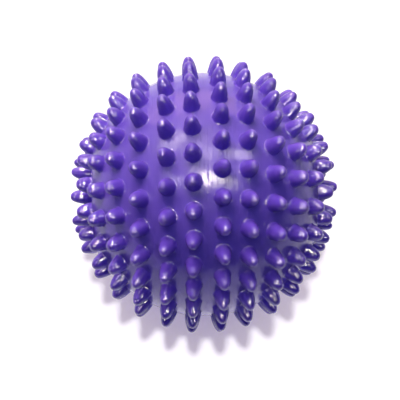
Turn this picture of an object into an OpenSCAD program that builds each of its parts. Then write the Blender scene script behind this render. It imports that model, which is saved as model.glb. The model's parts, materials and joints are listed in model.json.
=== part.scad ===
// Spiky massage ball: a hollow soft vinyl ball made as two half shells that meet at a seam,
// with seven rings of blunt spikes on each half and an air valve at one flattened pole.
// The origin is the ball's centre. +X runs through the poles, towards the valve, and +Z is up.

/* [Skin] */
// Radius of the round skin between the spikes
skin_r = 39.5; // [38.5:0.5:40.5]
// Distance from the centre to each flattened pole
pole_x = 35; // [34:0.5:36]
// Thickness of the skin
wall = 3; // [2.5:0.25:3.5]
// Width of the seam that joins the halves
seam_w = 0.6; // [0.4:0.1:1]
// Height of the seam above the skin
seam_rise = 0.2; // [0.1:0.05:0.4]

/* [Spikes] */
// Radius of a spike where it leaves the skin
spike_r = 2.5; // [2.3:0.05:2.7]
// Radius of a spike's rounded tip
spike_tip_r = 1.9; // [1.6:0.05:2.1]
// Latitude of each ring above the seam plane, in degrees
ring_lats = [6, 17, 29, 41, 53, 65, 75]; // [5:1:80]
// Distance from the ball's centre to the spike tips of each ring
ring_tips = [45, 45, 45, 44.5, 44, 43.5, 43.5]; // [43:0.5:47]
// Number of spikes in each ring
ring_counts = [30, 28, 26, 23, 18, 13, 8]; // [6:1:30]
// Angle of the first spike in each ring of the left half, from +Y towards +Z
left_turns = [6, 1, 12, 9, 3.5, 12.5, 18]; // [0:0.5:45]
// Angle of the first spike in each ring of the right half, from +Y towards +Z
right_turns = [0.5, 6.5, 1, 5, 17, 23.5, 7.5]; // [0:0.5:45]

/* [Valve] */
// Outer radius of the collar that is set into the right pole
collar_r = 5; // [4.5:0.25:5.5]
// Length of the collar, from the outer face of the pole inwards
collar_len = 9; // [7:0.5:11]
// Radius of the stopper's shank
shank_r = 2.45; // [2.2:0.05:2.6]
// Radius of the stopper's head
head_r = 3.6; // [3.2:0.1:3.8]
// Thickness of the stopper's head
head_t = 1; // [0.8:0.1:1.4]
// Radius of the hole that guides a pump needle
needle_r = 1; // [0.8:0.1:1.2]
// Depth of the needle hole, from the head's face
needle_depth = 6; // [4:0.5:7]

/* [Hidden] */
$fn = 96;
SKIN_FN = 180;

SKIN_COLOUR = "MediumPurple";
SPIKE_COLOUR = "RebeccaPurple";
SEAM_COLOUR = "SlateBlue";
VALVE_COLOUR = "Indigo";

LEFT = -1;
RIGHT = 1;

// A spike starts this far below the skin, before the skin's own shape trims it
spike_root = 2.5;
// The cone of a spike runs this far inside its round tip, so that the two cross cleanly
tip_bite = 0.02;

// The shank turns in the collar with this radial gap
shank_gap = 0.05;
// Gap around and under the stopper's head
head_gap = 0.3;
// The head sits this far below the face of the pole
head_sink = 0.2;
// The shank stops this far short of the collar's inner end, with a bevel for easy entry
shank_short = 0.5;
shank_bevel = 0.6;

inner_r = skin_r - wall;
inner_pole_x = pole_x - wall;
through = 3 * skin_r;
head_x = pole_x - head_sink;
head_seat_x = head_x - head_t - head_gap;
shank_end_x = pole_x - collar_len + shank_short;
bore_r = shank_r + shank_gap;

// Turns a shape that is modelled along +Z so that it lies along the poles
module along_poles(side = RIGHT) rotate([0, side * 90, 0]) children();

// Half outline of a ball of radius r whose poles are cut flat at a distance of flat_x,
// drawn with the poles along Y
module flattened_outline(r, flat_x) {
    intersection() {
        circle(r, $fn = SKIN_FN);
        translate([0, -flat_x]) square([r, 2 * flat_x]);
    }
}

// One half of the skin, open at its pole by a hole of radius hole_r
module half_shell(side, hole_r = 0) {
    along_poles(side)
        rotate_extrude($fn = SKIN_FN)
            difference() {
                flattened_outline(skin_r, pole_x);
                flattened_outline(inner_r, inner_pole_x);
                translate([0, -skin_r]) square([skin_r, skin_r + seam_w / 2]);
                if (hole_r > 0) square([hole_r, skin_r]);
            }
}

module left_shell() {
    color(SKIN_COLOUR) half_shell(LEFT);
}

module right_shell() {
    color(SKIN_COLOUR) half_shell(RIGHT, collar_r);
}

module seam_weld() {
    color(SEAM_COLOUR)
        along_poles()
            difference() {
                cylinder(r = skin_r + seam_rise, h = seam_w, center = true);
                cylinder(r = inner_r, h = 2 * seam_w, center = true);
            }
}

// Half outline of a spike whose axis runs up from the ball's centre. The cone has radius
// spike_r at the height of the skin and meets the round tip on a tangent.
module spike_outline(skin_z, tip_z) {
    round_z = tip_z - spike_tip_r;
    rise = round_z - skin_z;
    inside_r = spike_tip_r - tip_bite;
    taper = acos(inside_r / norm([spike_r, rise])) - atan2(rise, spike_r);
    polygon([
        [0, skin_z - spike_root],
        [spike_r + spike_root * tan(taper), skin_z - spike_root],
        [inside_r * cos(taper), round_z + inside_r * sin(taper)],
        [0, round_z + inside_r * sin(taper)]
    ]);
    intersection() {
        translate([0, round_z]) circle(spike_tip_r);
        translate([0, round_z - spike_tip_r]) square(2 * spike_tip_r);
    }
}

// One ring of spikes on the left or the right half, trimmed to stand on the skin
module spike_ring(side, ring, turn) {
    lat = ring_lats[ring];
    count = ring_counts[ring];
    skin_z = min(skin_r, pole_x / sin(lat));
    color(SPIKE_COLOUR)
        difference() {
            for (i = [0 : count - 1])
                rotate([turn + i * 360 / count, 0, 0])
                    rotate([0, 0, -side * lat])
                        rotate([-90, 0, 0])
                            rotate_extrude() spike_outline(skin_z, ring_tips[ring]);
            along_poles() rotate_extrude($fn = SKIN_FN) flattened_outline(skin_r, pole_x);
        }
}

module left_spikes(ring) spike_ring(LEFT, ring, left_turns[ring]);

module right_spikes(ring) spike_ring(RIGHT, ring, right_turns[ring]);

// Round collar in the pole's wall, with a bore for the shank and a seat for the head
module valve_collar() {
    color(VALVE_COLOUR)
        along_poles()
            difference() {
                translate([0, 0, pole_x - collar_len]) cylinder(r = collar_r, h = collar_len);
                cylinder(r = bore_r, h = through);
                translate([0, 0, head_seat_x]) cylinder(r = head_r + head_gap, h = through);
            }
}

// Pull-out stopper with a blind hole that guides a pump needle
module valve_stopper() {
    shank_len = head_x - shank_end_x;
    color(VALVE_COLOUR)
        along_poles()
            difference() {
                translate([0, 0, shank_end_x])
                    rotate_extrude()
                        polygon([
                            [0, 0],
                            [shank_r - shank_bevel, 0],
                            [shank_r, shank_bevel],
                            [shank_r, shank_len - head_t],
                            [head_r, shank_len - head_t],
                            [head_r, shank_len],
                            [0, shank_len]
                        ]);
                translate([0, 0, head_x - needle_depth]) cylinder(r = needle_r, h = through);
            }
}

left_shell();
right_shell();
seam_weld();
left_spikes(0);  // left_spikes_1
left_spikes(1);  // left_spikes_2
left_spikes(2);  // left_spikes_3
left_spikes(3);  // left_spikes_4
left_spikes(4);  // left_spikes_5
left_spikes(5);  // left_spikes_6
left_spikes(6);  // left_spikes_7
right_spikes(0);  // right_spikes_1
right_spikes(1);  // right_spikes_2
right_spikes(2);  // right_spikes_3
right_spikes(3);  // right_spikes_4
right_spikes(4);  // right_spikes_5
right_spikes(5);  // right_spikes_6
right_spikes(6);  // right_spikes_7
valve_collar();
valve_stopper();
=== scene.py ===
import json
import math

import bmesh
import bpy
from mathutils import Matrix, Vector, noise


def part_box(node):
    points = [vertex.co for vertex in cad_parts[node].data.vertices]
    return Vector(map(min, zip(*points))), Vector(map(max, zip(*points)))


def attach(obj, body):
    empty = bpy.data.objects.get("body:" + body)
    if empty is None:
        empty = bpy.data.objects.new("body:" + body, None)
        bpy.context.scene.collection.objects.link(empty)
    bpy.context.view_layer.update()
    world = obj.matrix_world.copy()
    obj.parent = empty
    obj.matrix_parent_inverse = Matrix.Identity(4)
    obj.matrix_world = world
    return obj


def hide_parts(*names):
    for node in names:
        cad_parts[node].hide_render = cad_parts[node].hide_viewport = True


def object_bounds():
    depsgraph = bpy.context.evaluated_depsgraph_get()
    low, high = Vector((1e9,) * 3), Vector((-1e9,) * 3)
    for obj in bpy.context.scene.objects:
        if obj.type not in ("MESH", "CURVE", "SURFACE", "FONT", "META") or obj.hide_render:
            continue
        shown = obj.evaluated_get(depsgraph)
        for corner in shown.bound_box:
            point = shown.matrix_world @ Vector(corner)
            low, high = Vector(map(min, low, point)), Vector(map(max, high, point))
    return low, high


# Spiky massage ball: the CAD nodes give the places and sizes, and the pieces made here give
# the moulded shape: a skin with rounded poles, a seam with flash, spikes with a hollow foot,
# and a rubber valve. Lengths are in metres, and the names that end in STEPS or SEGMENTS count
# the parts of a curve. The origin is the ball's centre, and +X runs through the valve's pole.
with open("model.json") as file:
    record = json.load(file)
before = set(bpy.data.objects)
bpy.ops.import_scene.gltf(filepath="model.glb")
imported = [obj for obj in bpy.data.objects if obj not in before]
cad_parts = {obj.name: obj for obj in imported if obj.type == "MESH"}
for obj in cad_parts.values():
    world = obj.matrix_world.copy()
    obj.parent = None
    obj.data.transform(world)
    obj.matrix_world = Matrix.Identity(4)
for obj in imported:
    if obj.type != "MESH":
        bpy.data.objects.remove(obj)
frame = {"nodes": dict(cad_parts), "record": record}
cad_low, cad_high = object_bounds()

MM = 0.001
X_AXIS = Vector((1, 0, 0))

# ---------------------------------------------------------------- sizes from the CAD model
shell_low, shell_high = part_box("left_shell")
_, seam_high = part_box("seam_weld")
collar_low, collar_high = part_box("valve_collar")
stopper_low, stopper_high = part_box("valve_stopper")
needle_hole = next(m for m in frame["record"]["mounts"] if m["name"] == "needle_hole")


def shank_radius():
    """Radius of the stopper's shank, from the points of its CAD node behind the head."""
    corners = [v.co for v in frame["nodes"]["valve_stopper"].data.vertices]
    middle = (stopper_low.x + stopper_high.x) / 2
    return max(math.hypot(c.y, c.z) for c in corners if c.x < middle)


SEAM_HALF = seam_high.x
SKIN_R = math.hypot(shell_high.z, SEAM_HALF)
POLE_X = -shell_low.x
COLLAR_R = collar_high.z
SHANK_R = shank_radius()
HEAD_R = stopper_high.z
NEEDLE_R = needle_hole["dims"]["r_mm"] * MM
NEEDLE_DEPTH = needle_hole["dims"]["length_mm"] * MM

# ---------------------------------------------------------------- camera
# The photograph's viewing angle, in degrees: azimuth 0 is the ball's front, at -Y
CAMERA_AZIMUTH = -6.26
CAMERA_ELEVATION = 73.1
CAMERA_ROLL = 5.21
CAMERA_DISTANCE = 280.8 * MM
FOCAL_LENGTH = 77
# Where the ball's centre lies in the camera's view, to the right of and above the middle
CENTRE_RIGHT = 1.1 * MM
CENTRE_UP = 1.84 * MM


def add_camera():
    camera = bpy.data.objects.new("camera", bpy.data.cameras.new("camera"))
    bpy.context.scene.collection.objects.link(camera)
    camera.data.lens = FOCAL_LENGTH
    camera.data.clip_start = 10 * MM
    turn = (
        Matrix.Rotation(math.radians(CAMERA_AZIMUTH), 3, "Z")
        @ Matrix.Rotation(math.radians(90 - CAMERA_ELEVATION), 3, "X")
        @ Matrix.Rotation(math.radians(CAMERA_ROLL), 3, "Z")
    )
    back = turn @ Vector((-CENTRE_RIGHT, -CENTRE_UP, CAMERA_DISTANCE))
    camera.matrix_world = Matrix.Translation(back) @ turn.to_4x4()
    bpy.context.scene.camera = camera


add_camera()


# ---------------------------------------------------------------- nodes of a material
def new_material(name):
    """A material, with its node tree and its shader."""
    material = bpy.data.materials.new(name)
    material.use_nodes = True
    tree = material.node_tree
    return material, tree, tree.nodes["Principled BSDF"]


def set_values(shader, values):
    for socket, value in values.items():
        shader.inputs[socket].default_value = value


def grey(value):
    return (value, value, value)


def place_on_object(tree):
    """A point's place from the ball's centre."""
    return tree.nodes.new("ShaderNodeTexCoord").outputs["Object"]


def vector_math(tree, operation, source):
    node = tree.nodes.new("ShaderNodeVectorMath")
    node.operation = operation
    tree.links.new(source, node.inputs[0])
    return node


def noise_texture(tree, place, scale, detail):
    texture = tree.nodes.new("ShaderNodeTexNoise")
    texture.inputs["Scale"].default_value = scale
    texture.inputs["Detail"].default_value = detail
    tree.links.new(place, texture.inputs["Vector"])
    return texture.outputs["Fac"]


def colour_ramp(tree, source, *stops):
    """Colours that run between two stops, each a (position, colour) pair."""
    ramp = tree.nodes.new("ShaderNodeValToRGB")
    for element, (position, colour) in zip(ramp.color_ramp.elements, stops):
        element.position = position
        element.color = (*colour, 1)
    tree.links.new(source, ramp.inputs["Fac"])
    return ramp.outputs["Color"]


def bump(tree, below, height, strength, distance):
    """A normal raised by a height, on top of the normal below it, if there is one."""
    node = tree.nodes.new("ShaderNodeBump")
    node.inputs["Strength"].default_value = strength
    node.inputs["Distance"].default_value = distance
    tree.links.new(height, node.inputs["Height"])
    if below:
        tree.links.new(below, node.inputs["Normal"])
    return node.outputs["Normal"]


# ---------------------------------------------------------------- vinyl
VINYL_BODY = {
    "IOR": 1.5,
    "Subsurface Weight": 0.1,
    "Subsurface Radius": (0.6, 0.4, 1.0),
    "Subsurface Scale": 1.5 * MM,
}
CUTTER_PITCH = 0.45 * MM
# Noise squeezed along the poles' axis, which leaves lines that run round it
ROUND_THE_POLES = (12, 1, 1)


def cutter_rings(tree, place):
    """Rings round every spike, at steps of a distance from the ball's centre."""
    distance = vector_math(tree, "LENGTH", place).outputs["Value"]
    turns = tree.nodes.new("ShaderNodeMath")
    turns.operation = "MULTIPLY"
    turns.inputs[1].default_value = 2 * math.pi / CUTTER_PITCH
    tree.links.new(distance, turns.inputs[0])
    rings = tree.nodes.new("ShaderNodeMath")
    rings.operation = "SINE"
    tree.links.new(turns.outputs["Value"], rings.inputs[0])
    return rings.outputs["Value"]


def lengthwise_streaks(tree, place):
    """Streaks along every spike: noise over the direction from the ball's centre."""
    direction = vector_math(tree, "NORMALIZE", place).outputs["Vector"]
    return noise_texture(tree, direction, scale=46, detail=2)


def polishing_lines(tree, place):
    """Fine lines that run round the poles, as polishing leaves them in a mould."""
    stretch = tree.nodes.new("ShaderNodeMapping")
    stretch.inputs["Scale"].default_value = ROUND_THE_POLES
    tree.links.new(place, stretch.inputs["Vector"])
    return noise_texture(tree, stretch.outputs["Vector"], scale=160, detail=3)


def spike_marks(tree, place):
    ripple = noise_texture(tree, place, scale=110, detail=2)
    normal = bump(tree, None, ripple, strength=0.15, distance=0.35 * MM)
    streaks = lengthwise_streaks(tree, place)
    normal = bump(tree, normal, streaks, strength=0.5, distance=0.06 * MM)
    rings = cutter_rings(tree, place)
    return bump(tree, normal, rings, strength=0.6, distance=0.003 * MM)


def skin_marks(tree, place):
    ripple = noise_texture(tree, place, scale=110, detail=2)
    normal = bump(tree, None, ripple, strength=0.9, distance=0.35 * MM)
    lines = polishing_lines(tree, place)
    return bump(tree, normal, lines, strength=0.5, distance=0.18 * MM)


def vinyl(name, light, dark, roughness, marks):
    """Glossy soft vinyl: a cloudy colour, smeared gloss, the mould's marks and a fine grain."""
    material, tree, shader = new_material(name)
    place = place_on_object(tree)
    clouds = noise_texture(tree, place, scale=70, detail=3)
    tint = colour_ramp(tree, clouds, (0.35, dark), (0.65, light))
    smears = noise_texture(tree, place, scale=240, detail=4)
    smooth, worn = grey(roughness - 0.04), grey(roughness + 0.07)
    gloss = colour_ramp(tree, smears, (0.3, smooth), (0.75, worn))
    grain = noise_texture(tree, place, scale=1800, detail=2)
    relief = bump(tree, marks(tree, place), grain, strength=0.15, distance=0.015 * MM)
    tree.links.new(tint, shader.inputs["Base Color"])
    tree.links.new(gloss, shader.inputs["Roughness"])
    tree.links.new(relief, shader.inputs["Normal"])
    set_values(shader, VINYL_BODY)
    return material


SKIN_VINYL = vinyl("skin_vinyl", (0.1, 0.06, 0.5), (0.085, 0.05, 0.46), 0.2, skin_marks)
SPIKE_VINYL = vinyl("spike_vinyl", (0.1, 0.051, 0.53), (0.082, 0.041, 0.47), 0.06, spike_marks)
VALVE_RUBBER = vinyl("valve_rubber", (0.1, 0.045, 0.36), (0.08, 0.035, 0.31), 0.45, skin_marks)


# ---------------------------------------------------------------- mesh helpers
def add_piece(name, points, faces, material, body, slot, replaced, sharp_angle=40):
    """A smooth mesh with outward normals that rides on a body and stands for CAD nodes."""
    mesh = bpy.data.meshes.new(name)
    mesh.from_pydata(points, [], faces)
    outward = bmesh.new()
    outward.from_mesh(mesh)
    bmesh.ops.recalc_face_normals(outward, faces=outward.faces)
    outward.to_mesh(mesh)
    outward.free()
    mesh.polygons.foreach_set("use_smooth", [True] * len(mesh.polygons))
    mesh.set_sharp_from_angle(angle=math.radians(sharp_angle))
    mesh.materials.append(material)
    piece = bpy.data.objects.new(name, mesh)
    bpy.context.scene.collection.objects.link(piece)
    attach(piece, body)
    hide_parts(*replaced)
    return piece


def faces_between(rows):
    """Faces that join each row of points to the next. A row may repeat one point."""
    faces = []
    for low_row, high_row in zip(rows, rows[1:]):
        for i in range(len(low_row)):
            j = (i + 1) % len(low_row)
            corners = [low_row[i], low_row[j], high_row[j], high_row[i]]
            face = [c for n, c in enumerate(corners) if c != corners[n - 1]]
            if len(face) > 2:
                faces.append(face)
    return faces


def turned(outline, segments, radius_change=None):
    """Points and faces of an outline of (x, radius) pairs turned about the X axis. A pair with
    no radius becomes one point on the axis, and an outline with none is closed on itself."""
    points = []
    rows = []
    for x, radius in outline:
        if radius == 0:
            rows.append([len(points)] * segments)
            points.append((x, 0, 0))
            continue
        rows.append(range(len(points), len(points) + segments))
        for i in range(segments):
            angle = 2 * math.pi * i / segments
            r = radius + (radius_change(radius, angle) if radius_change else 0)
            points.append((x, r * math.cos(angle), r * math.sin(angle)))
    if all(radius > 0 for _, radius in outline):
        rows.append(rows[0])
    return points, faces_between(rows)


def arc(centre_x, centre_r, radius, start, end, steps):
    """Points (x, radius) of an arc. Its angles run in degrees from the radial direction to +X."""
    points = []
    for i in range(steps + 1):
        angle = math.radians(start + (end - start) * i / steps)
        points.append((centre_x + radius * math.sin(angle), centre_r + radius * math.cos(angle)))
    return points


# ---------------------------------------------------------------- skin
WALL = 3 * MM
# Radius of the round rim of a flat pole
RIM_R = 8 * MM
OUTSIDE_STEPS = 48
INSIDE_STEPS = 24
FLAT_STEPS = 4
SKIN_SEGMENTS = 240


def rim_centre(skin_r, pole_x, rim_r):
    """Centre (x, radius) of the round rim that joins the ball to a flat pole on tangents."""
    x = pole_x - rim_r
    return x, math.sqrt((skin_r - rim_r) ** 2 - x**2)


RIM_X, RIM_Y = rim_centre(SKIN_R, POLE_X, RIM_R)
RIM_START = math.degrees(math.atan2(RIM_X, RIM_Y))
RIM_END = math.degrees(math.atan2(POLE_X, RIM_Y))


def skin_distance(direction):
    """Distance from the ball's centre to the skin in a direction."""
    across = abs(direction.normalized().x)
    latitude = math.degrees(math.asin(min(1, across)))
    if latitude < RIM_START:
        return SKIN_R
    if latitude > RIM_END:
        return POLE_X / across
    along = RIM_X * across + RIM_Y * math.sqrt(1 - across**2)
    return along + math.sqrt(along**2 - RIM_X**2 - RIM_Y**2 + RIM_R**2)


def skin_outline(skin_r, pole_x, rim_r, hole_r, steps):
    """Half outline of the skin from the seam to the pole, or to the edge of a hole in it."""
    centre_x, centre_r = rim_centre(skin_r, pole_x, rim_r)
    start = math.degrees(math.asin(SEAM_HALF / skin_r))
    rim_start = math.degrees(math.atan2(centre_x, centre_r))
    outline = arc(0, 0, skin_r, start, rim_start, steps)
    outline += arc(centre_x, centre_r, rim_r, rim_start, 90, steps // 3)[1:]
    for i in range(1, FLAT_STEPS + 1):
        outline.append((pole_x, centre_r + (hole_r - centre_r) * i / FLAT_STEPS))
    return outline


def half_skin(side, hole_r):
    """The wall of one half: side is -1 for the left half and 1 for the right."""
    outside = skin_outline(SKIN_R, POLE_X, RIM_R, hole_r, OUTSIDE_STEPS)
    inside = skin_outline(SKIN_R - WALL, POLE_X - WALL, RIM_R - WALL, hole_r, INSIDE_STEPS)
    outline = outside[::-1] + inside
    return turned([(side * x, r) for x, r in outline], SKIN_SEGMENTS)


skin = [
    add_piece("left_skin", *half_skin(-1, 0), SKIN_VINYL, "ball", "skin", ["left_shell"]),
    add_piece("right_skin", *half_skin(1, COLLAR_R), SKIN_VINYL, "ball", "skin", ["right_shell"]),
]

# ---------------------------------------------------------------- seam
# The bead covers the skin's edges, and its crown runs along the middle of it
BEAD_HALF = 0.34 * MM
BEAD_DEPTH = 0.05 * MM
CROWN_HALF = 0.16 * MM
CROWN_RISE = 0.018 * MM
CROWN_STEPS = 10
SEAM_SEGMENTS = 720
FLASH_RISE = 0.1 * MM
# How closely the flash's ripples and nicks follow each other round the seam, and how much
# each of them adds to it
RIPPLE_SCALE = 9
RIPPLE_SHARE = 0.3
NICK_SCALE = 26
NICK_SHARE = 1.6
# How strong the noise must be to leave a nick, and how far it lies from the ripples' noise
NICK_LEVEL = 0.25
NICK_SHIFT = X_AXIS * 5


def flash(radius, angle):
    """Uneven flash on the seam's crown: low almost everywhere, with a few short nicks."""
    if radius < SKIN_R:
        return 0
    place = Vector((math.cos(angle), math.sin(angle), 0))
    ripple = noise.noise(place * RIPPLE_SCALE)
    nick = max(0, noise.noise(place * NICK_SCALE + NICK_SHIFT) - NICK_LEVEL)
    return FLASH_RISE * (RIPPLE_SHARE * ripple + NICK_SHARE * nick)


def seam_bead():
    """The weld between the halves, with a low round crown that stands on the skin."""
    crown = []
    for i in range(CROWN_STEPS + 1):
        across = 2 * i / CROWN_STEPS - 1
        rise = CROWN_RISE * (1 + math.cos(math.pi * across)) / 2
        crown.append((CROWN_HALF * across, SKIN_R + rise))
    root = SKIN_R - BEAD_DEPTH
    inner = SKIN_R - WALL
    outline = [(-SEAM_HALF, inner), (-SEAM_HALF, root), (-BEAD_HALF, root), (-BEAD_HALF, SKIN_R)]
    outline += crown
    outline += [(BEAD_HALF, SKIN_R), (BEAD_HALF, root), (SEAM_HALF, root), (SEAM_HALF, inner)]
    return turned(outline, SEAM_SEGMENTS, flash)


skin.append(add_piece("seam", *seam_bead(), SKIN_VINYL, "ball", "seam", ["seam_weld"]))

# ---------------------------------------------------------------- spikes
SPIKE_SEGMENTS = 24
RINGS_PER_HALF = 7
# A point of a CAD ring this close to the furthest one is at a tip, and two points further
# apart than this angle, in degrees, are at two tips
NEAR_TIP = 0.02 * MM
TIPS_APART = 4
# A spike is a bullet: its half width at the foot, how much of that its straight sides lose by
# the tip, and how full it stays before it rounds off (2 is an ellipse)
ROUND_THE_RING = (2.6 * MM, 0.14, 2.7)
TOWARDS_POLE = (2.5 * MM, 0.2, 2.5)
SIDE_STEPS = 14
# The hollow fillet where a spike meets the skin, and how high the plain side starts above it
FILLET_R = 0.28 * MM
FILLET_STEPS = 5
FOOT_DEPTH = 0.4 * MM
SIDE_START = 1.3 * FILLET_R
# How often the height at which a side meets the skin is corrected
CORRECTIONS = 4
# Edges between a spike's faces look sharp from this angle, in degrees
SPIKE_SHARP_ANGLE = 60


def spike_tips(node):
    """The tip of every spike in a CAD ring: its outermost points, one for each spike."""
    corners = [v.co for v in frame["nodes"][node].data.vertices]
    reach = max(c.length for c in corners)
    apart = math.cos(math.radians(TIPS_APART))
    tips = []
    for corner in sorted(corners, key=lambda c: -c.length):
        if corner.length < reach - NEAR_TIP:
            break
        direction = corner.normalized()
        if all(direction.dot(t.normalized()) < apart for t in tips):
            tips.append(corner.copy())
    return tips


def spike_foot():
    """Points of a spike's foot: distance out from the side, and height above the skin."""
    points = [(FILLET_R, -FOOT_DEPTH)]
    for i in range(FILLET_STEPS + 1):
        turn = math.pi / 2 * i / FILLET_STEPS
        points.append((FILLET_R * (1 - math.sin(turn)), FILLET_R * (1 - math.cos(turn))))
    return points


FOOT = spike_foot()


def spike_width(outline, up):
    """Half width of a spike at a height that runs from 0 at the foot to 1 at the tip."""
    half, taper, fullness = outline
    up = min(1, max(0, up))
    return half * (1 - taper * up) * (1 - up**fullness) ** (1 / fullness)


class Spike:
    """One spike, from its foot on the skin to its tip, with its axis through the centre."""

    def __init__(self, tip):
        self.tip = tip
        self.axis = tip.normalized()
        self.across = self.axis.cross(X_AXIS).normalized()
        self.along = self.axis.cross(self.across)
        self.foot_z = skin_distance(self.axis)

    def side(self, z, angle):
        """A point of the side, at a distance along the axis and an angle round it."""
        up = (z - self.foot_z) / (self.tip.length - self.foot_z)
        across = self.across * math.cos(angle) * spike_width(ROUND_THE_RING, up)
        along = self.along * math.sin(angle) * spike_width(TOWARDS_POLE, up)
        return self.axis * z + across + along

    def skin_z(self, angle):
        """The distance along the axis at which the side meets the skin."""
        z = self.foot_z
        for _ in range(CORRECTIONS):
            side = self.side(z, angle)
            z += (skin_distance(side) - side.length) * side.length / z
        return z

    def column(self, angle):
        """Points up the foot and the side, from below the skin to just short of the tip."""
        z = self.skin_z(angle)
        side = self.side(z, angle)
        out = (side - self.axis * z).normalized()
        points = []
        for beyond, height in FOOT:
            ground = (side + out * beyond).normalized()
            points.append(ground * (skin_distance(ground) + height))
        bottom = z + SIDE_START
        for n in range(SIDE_STEPS):
            rise = math.sin(math.pi / 2 * n / SIDE_STEPS)
            points.append(self.side(bottom + (self.tip.length - bottom) * rise, angle))
        return points

    def points(self):
        """The columns one after another, then the root on the axis, and the tip."""
        points = []
        for i in range(SPIKE_SEGMENTS):
            points += self.column(2 * math.pi * i / SPIKE_SEGMENTS)
        return points + [self.axis * (self.foot_z - FOOT_DEPTH), self.tip]


def spike_faces():
    """Faces of any spike, over its points: between the columns, and round the root and tip."""
    rows = len(FOOT) + SIDE_STEPS
    root = SPIKE_SEGMENTS * rows
    tip = root + 1
    faces = []
    for i in range(SPIKE_SEGMENTS):
        here = i * rows
        there = (i + 1) % SPIKE_SEGMENTS * rows
        faces.append((root, here, there))
        faces.append((here + rows - 1, tip, there + rows - 1))
        for n in range(rows - 1):
            faces.append((here + n, here + n + 1, there + n + 1, there + n))
    return faces


SPIKE_FACES = spike_faces()


def add_spike_ring(node):
    points = []
    faces = []
    for tip in spike_tips(node):
        start = len(points)
        points += Spike(tip).points()
        faces += [[start + corner for corner in face] for face in SPIKE_FACES]
    name = node + "_moulded"
    add_piece(name, points, faces, SPIKE_VINYL, "ball", "spikes", [node], SPIKE_SHARP_ANGLE)


for half in ("left", "right"):
    for ring in range(1, RINGS_PER_HALF + 1):
        add_spike_ring(f"{half}_spikes_{ring}")

# ---------------------------------------------------------------- valve
VALVE_SEGMENTS = 96
EDGE_STEPS = 6
SHANK_GAP = 0.05 * MM
SHANK_BEVEL = 0.6 * MM
HEAD_T = 1 * MM
# Gap round and under the stopper's head
HEAD_GAP = 0.3 * MM
HEAD_BEVEL = 0.1 * MM
# Radius of the head's edge and of the lip round its seat
EDGE_R = 0.35 * MM
# The dimple that leads into the needle hole, and the cone at the hole's end
DIMPLE_WIDTH = 0.5 * MM
DIMPLE_DEPTH = 0.2 * MM
CONE_DEPTH = 0.2 * MM


def valve_collar():
    """The collar in the right pole, with a rounded lip round the stopper's seat."""
    face = collar_high.x
    end = collar_low.x
    bore = SHANK_R + SHANK_GAP
    seat_r = HEAD_R + HEAD_GAP
    seat_x = stopper_high.x - HEAD_T - HEAD_GAP
    outline = [(end, bore), (seat_x, bore), (seat_x, seat_r)]
    outline += arc(face - EDGE_R, seat_r + EDGE_R, EDGE_R, 180, 90, EDGE_STEPS)
    outline += [(face, COLLAR_R), (end + EDGE_R, COLLAR_R), (end, COLLAR_R - EDGE_R)]
    return turned(outline, VALVE_SEGMENTS)


def valve_stopper():
    """The stopper: a bevelled shank, a head with a round edge, and a needle hole in a dimple."""
    start = stopper_low.x
    top = stopper_high.x
    under = top - HEAD_T
    hole_end = top - NEEDLE_DEPTH
    outline = [(start, 0), (start, SHANK_R - SHANK_BEVEL), (start + SHANK_BEVEL, SHANK_R)]
    outline += [(under, SHANK_R), (under, HEAD_R - HEAD_BEVEL), (under + HEAD_BEVEL, HEAD_R)]
    outline += arc(top - EDGE_R, HEAD_R - EDGE_R, EDGE_R, 0, 90, EDGE_STEPS)
    outline += [(top, NEEDLE_R + DIMPLE_WIDTH), (top - DIMPLE_DEPTH, NEEDLE_R)]
    outline += [(hole_end, NEEDLE_R), (hole_end - CONE_DEPTH, 0)]
    return turned(outline, VALVE_SEGMENTS)


add_piece("collar", *valve_collar(), VALVE_RUBBER, "ball", "valve", ["valve_collar"])
add_piece("stopper", *valve_stopper(), VALVE_RUBBER, "stopper", "valve", ["valve_stopper"])

# ---------------------------------------------------------------- floor and backdrop
# Radius of the floor and height of the wall round it
FLOOR_R = 4
FLOOR_SEGMENTS = 128


def floor_material():
    """Matt white with a faint mottle."""
    material, tree, shader = new_material("white_floor")
    mottle = noise_texture(tree, place_on_object(tree), scale=3, detail=2)
    tint = colour_ramp(tree, mottle, (0.3, grey(0.8)), (0.7, grey(0.82)))
    tree.links.new(tint, shader.inputs["Base Color"])
    set_values(shader, {"Roughness": 0.6})
    return material


def backdrop_material():
    """A pale wall that looks the same however it is lit."""
    material, tree, shader = new_material("pale_backdrop")
    mottle = noise_texture(tree, place_on_object(tree), scale=0.2, detail=2)
    tint = colour_ramp(tree, mottle, (0.3, (0.6, 0.53, 0.56)), (0.7, (0.64, 0.57, 0.6)))
    tree.links.new(tint, shader.inputs["Emission Color"])
    unlit = {"Base Color": (0, 0, 0, 1), "Specular IOR Level": 0, "Emission Strength": 1}
    set_values(shader, unlit)
    return material


def add_floor():
    """The floor under the lowest spikes. It throws no light back: the bounce lamps do that."""
    bpy.ops.mesh.primitive_circle_add(
        vertices=FLOOR_SEGMENTS, radius=FLOOR_R, fill_type="NGON", location=(0, 0, cad_low.z)
    )
    ground = bpy.context.active_object
    ground.name = "floor"
    ground.data.materials.append(floor_material())
    ground.visible_diffuse = False
    return ground


def add_backdrop():
    """A wall round the floor that only the camera sees, so it neither lights nor shades."""
    bpy.ops.mesh.primitive_cylinder_add(
        vertices=FLOOR_SEGMENTS,
        radius=FLOOR_R,
        depth=FLOOR_R,
        end_fill_type="NOTHING",
        location=(0, 0, cad_low.z + FLOOR_R / 2),
    )
    wall = bpy.context.active_object
    wall.name = "backdrop"
    wall.data.materials.append(backdrop_material())
    wall.visible_diffuse = False
    wall.visible_glossy = False
    wall.visible_shadow = False


floor = add_floor()
add_backdrop()

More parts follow.
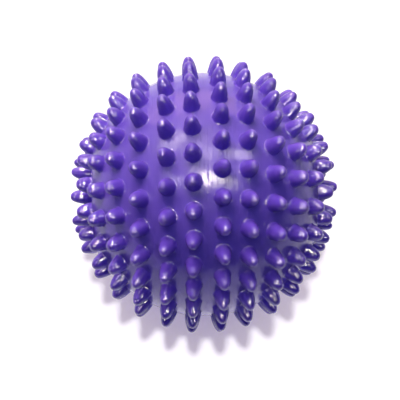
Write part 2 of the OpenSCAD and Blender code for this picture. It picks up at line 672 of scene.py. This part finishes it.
# ---------------------------------------------------------------- lamps and sky
SOFTBOX_DISTANCE = 0.8
WHITE = (1, 1, 1)
WARM = (1, 0.8, 0.51)
PINK = (1, 0.62, 0.3)
PALE_WARM = (1, 0.88, 0.8)
PALE_PINK = (1, 0.89, 0.93)
COOL = (0.8, 0.84, 1)
BOUNCE = (1, 0.9, 0.92)
# The sky is brightest in this direction: behind the ball, and a little to the left and up
SKY_BRIGHTEST = (-0.15, 0.95, 0.25)
SKY_DARK = (0.06, 0.06, 0.09)
SKY_BRIGHT = (0.85, 0.75, 0.74)


def linked(name, pieces, state):
    """A collection that links a lamp to these pieces alone, "INCLUDE", or to all but them,
    "EXCLUDE"."""
    collection = bpy.data.collections.new(name)
    for piece in pieces:
        collection.objects.link(piece)
    for link in collection.collection_objects:
        link.light_linking.link_state = state
    return collection


def add_lamp(name, kind, azimuth, elevation, distance, power, colour):
    """A lamp aimed at the ball. Azimuth 0 is the ball's front, and 90 is the valve's side."""
    light = bpy.data.lights.new(name, kind)
    light.energy = power
    light.color = colour
    lamp = bpy.data.objects.new(name, light)
    a, e = math.radians(azimuth), math.radians(elevation)
    back = Vector((math.sin(a) * math.cos(e), -math.cos(a) * math.cos(e), math.sin(e)))
    lamp.location = back * distance
    lamp.rotation_euler = (-back).to_track_quat("-Z", "Y").to_euler()
    lamp.visible_camera = False
    bpy.context.scene.collection.objects.link(lamp)
    return lamp


def add_softbox(name, azimuth, elevation, size, power, colour, gives, left_out=()):
    """A softbox for the ball. It gives "shade", soft light with no reflection, or "gloss"."""
    lamp = add_lamp(name, "AREA", azimuth, elevation, SOFTBOX_DISTANCE, power, colour)
    lamp.data.shape = "ELLIPSE"
    lamp.data.size, lamp.data.size_y = size
    lamp.visible_glossy = gives == "gloss"
    lamp.visible_diffuse = gives == "shade"
    unlit = [floor, *left_out]
    lamp.light_linking.receiver_collection = linked(name + "_lights", unlit, "EXCLUDE")
    lamp.light_linking.blocker_collection = linked(name + "_shadows", [floor], "EXCLUDE")


def add_floor_lamp(name, azimuth, elevation, distance, size, power, colour):
    """A small round lamp above the ball that lights the floor alone and casts the shadow."""
    lamp = add_lamp(name, "AREA", azimuth, elevation, distance, power, colour)
    lamp.data.shape = "DISK"
    lamp.data.size = size
    lamp.light_linking.receiver_collection = linked(name + "_lights", [floor], "INCLUDE")


def add_floor_sun(name, azimuth, elevation, spread, power, colour):
    """Light that comes from a wide cone of the sky, for the floor alone."""
    lamp = add_lamp(name, "SUN", azimuth, elevation, 1, power, colour)
    lamp.data.angle = math.radians(spread)
    lamp.light_linking.receiver_collection = linked(name + "_lights", [floor], "INCLUDE")


def add_sky():
    """A room that is bright behind the ball and dim in front of it."""
    world = bpy.data.worlds.new("studio")
    world.use_nodes = True
    tree = world.node_tree
    background = tree.nodes["Background"]
    view = tree.nodes.new("ShaderNodeTexCoord").outputs["Generated"]
    across = vector_math(tree, "DOT_PRODUCT", view)
    across.inputs[1].default_value = SKY_BRIGHTEST
    shade = colour_ramp(tree, across.outputs["Value"], (0.15, SKY_DARK), (0.85, SKY_BRIGHT))
    tree.links.new(shade, background.inputs["Color"])
    background.inputs["Strength"].default_value = 1
    bpy.context.scene.world = world


# Name, azimuth and elevation in degrees, (width, height), power in watts, colour, and what
# it gives
add_softbox("rear_key", 203, 50, (0.7, 0.5), 11.4, WARM, "shade")
add_softbox("top_fill", 0, 80, (0.5, 0.5), 1.4, COOL, "shade")
add_softbox("bounce_below", 0, -90, (1.2, 1.2), 2.5, BOUNCE, "shade")
add_softbox("bounce_front", 0, -48, (0.6, 0.6), 3, BOUNCE, "shade")
add_softbox("bounce_right", 90, -45, (0.6, 0.6), 2, BOUNCE, "shade")
add_softbox("bounce_left", 270, -45, (0.6, 0.6), 2, BOUNCE, "shade")
add_softbox("rear_wall", 184, 14, (1.3, 0.42), 2.6, PINK, "gloss")
add_softbox("rear_left", 220, 47, (0.2, 0.12), 1.2, PALE_WARM, "gloss")
add_softbox("rear_right", 122, 54, (0.16, 0.12), 1.3, PALE_WARM, "gloss")
add_softbox("side_left", 278, 62, (0.14, 0.08), 0.7, PALE_WARM, "gloss")
add_softbox("side_right", 74, 68, (0.12, 0.08), 0.8, PALE_WARM, "gloss")
add_softbox("top_spine", 175, 70, (0.1, 0.26), 1.3, PALE_WARM, "gloss")
add_softbox("top_core", 28, 87, (0.13, 0.07), 4.2, PALE_WARM, "gloss")
# The strips that draw the streaks on the spikes, and leave out the skin
add_softbox("spike_top", 350, 84, (0.26, 0.07), 3, PALE_WARM, "gloss", skin)
add_softbox("spike_front", 350, 57, (0.03, 0.36), 3.4, PALE_WARM, "gloss", skin)
add_softbox("spike_over", 172, 77, (0.03, 0.36), 3, PALE_WARM, "gloss", skin)
add_softbox("spike_rear", 190, 49, (0.03, 0.36), 4, PALE_WARM, "gloss", skin)
add_softbox("spike_low_rear", 185, 22, (0.03, 0.36), 3.4, PALE_WARM, "gloss", skin)
add_softbox("spike_left", 302, 48, (0.03, 0.4), 3.6, PALE_WARM, "gloss", skin)
add_softbox("spike_right", 58, 48, (0.03, 0.4), 3.6, PALE_WARM, "gloss", skin)
add_floor_lamp("floor_key", 301, 87.8, distance=0.615, size=0.04, power=2.8, colour=WHITE)
add_floor_sun("floor_fill", 0, 90, spread=150, power=2.4, colour=PALE_PINK)
add_sky()
bpy.context.scene.view_settings.view_transform = "Standard"
